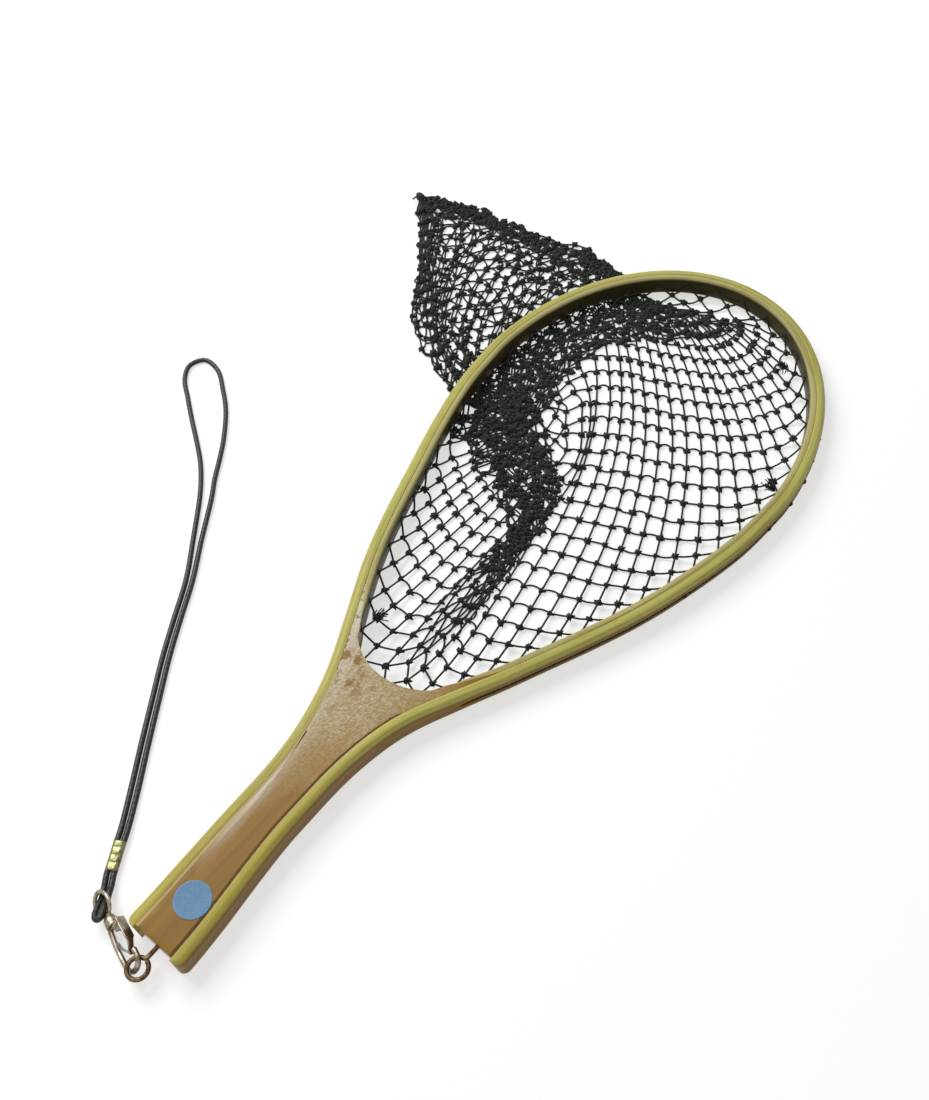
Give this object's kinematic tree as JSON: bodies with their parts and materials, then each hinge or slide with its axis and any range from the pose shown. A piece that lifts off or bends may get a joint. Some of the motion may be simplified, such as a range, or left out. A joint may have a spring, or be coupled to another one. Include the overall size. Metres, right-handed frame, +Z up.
{
  "type": "landing net",
  "caption": "Laminated wooden landing net with a teardrop hoop, short wooden grip, knotted twine bag laid out flat, and a corded lanyard on a swivel snap.",
  "frame": {"origin": "middle of the grip's flat underside, on the surface that the net lies on", "axes": "+X along the net from the butt to the tip of the hoop, +Y to the side where the bag's end and the lanyard lie, +Z up"},
  "size_m": [0.5725, 0.3751, 0.0193],
  "materials": {
    "ash": "varnished",
    "pale_ash": "varnished",
    "brown_core": "varnished",
    "dark_accent": "varnished",
    "twine": "tarred twine",
    "nickel": "worn nickel plate",
    "dark_steel": "tarnished",
    "spring_steel": "spring steel",
    "black_cord": "braided",
    "brass": "crimped",
    "blue_paper": "paper label"
  },
  "bodies": {
    "net": {"outer_lamination": "ash", "inner_lamination": "pale_ash", "handle_core": "brown_core", "accent_strip_left": "dark_accent", "accent_strip_right": "dark_accent", "net_bag": "twine", "bag_floor": "twine", "bag_end_tie": "twine", "lacing_line": "twine", "dot_sticker": "blue_paper", "screw_eye": "dark_steel"},
    "snap": {"snap_body": "nickel", "gate_pin": "nickel", "gate_spring": "spring_steel", "swivel_washer": "nickel", "lanyard_bight": "black_cord", "cord_crimp": "brass", "lanyard_loop": "black_cord"},
    "gate": {"snap_gate": "nickel"},
    "swivel": {"swivel_eye": "nickel"}
  },
  "joints": [
    {"name": "snap_swing", "type": "hinge", "parent": "net", "child": "snap", "pos_m": [-0.083, -0.003, 0.0095], "axis": [0, 0, 1], "range_deg": [0, 190]},
    {"name": "gate_swing", "type": "hinge", "parent": "snap", "child": "gate", "pos_m": [-0.07488, 0.01836, 0.00985], "axis": [0.6363, -0.2554, -0.728], "range_deg": [0, 16], "stiffness_Nm_per_rad": 0.05, "springref_deg": -14.32, "deforming": ["gate_spring"]},
    {"name": "swivel_spin", "type": "hinge", "parent": "snap", "child": "swivel", "pos_m": [-0.08375, -0.00275, 0.0095], "axis": [0.2744, 0.9568, -0.0958], "continuous": true, "deforming": ["lanyard_bight"]}
  ]
}
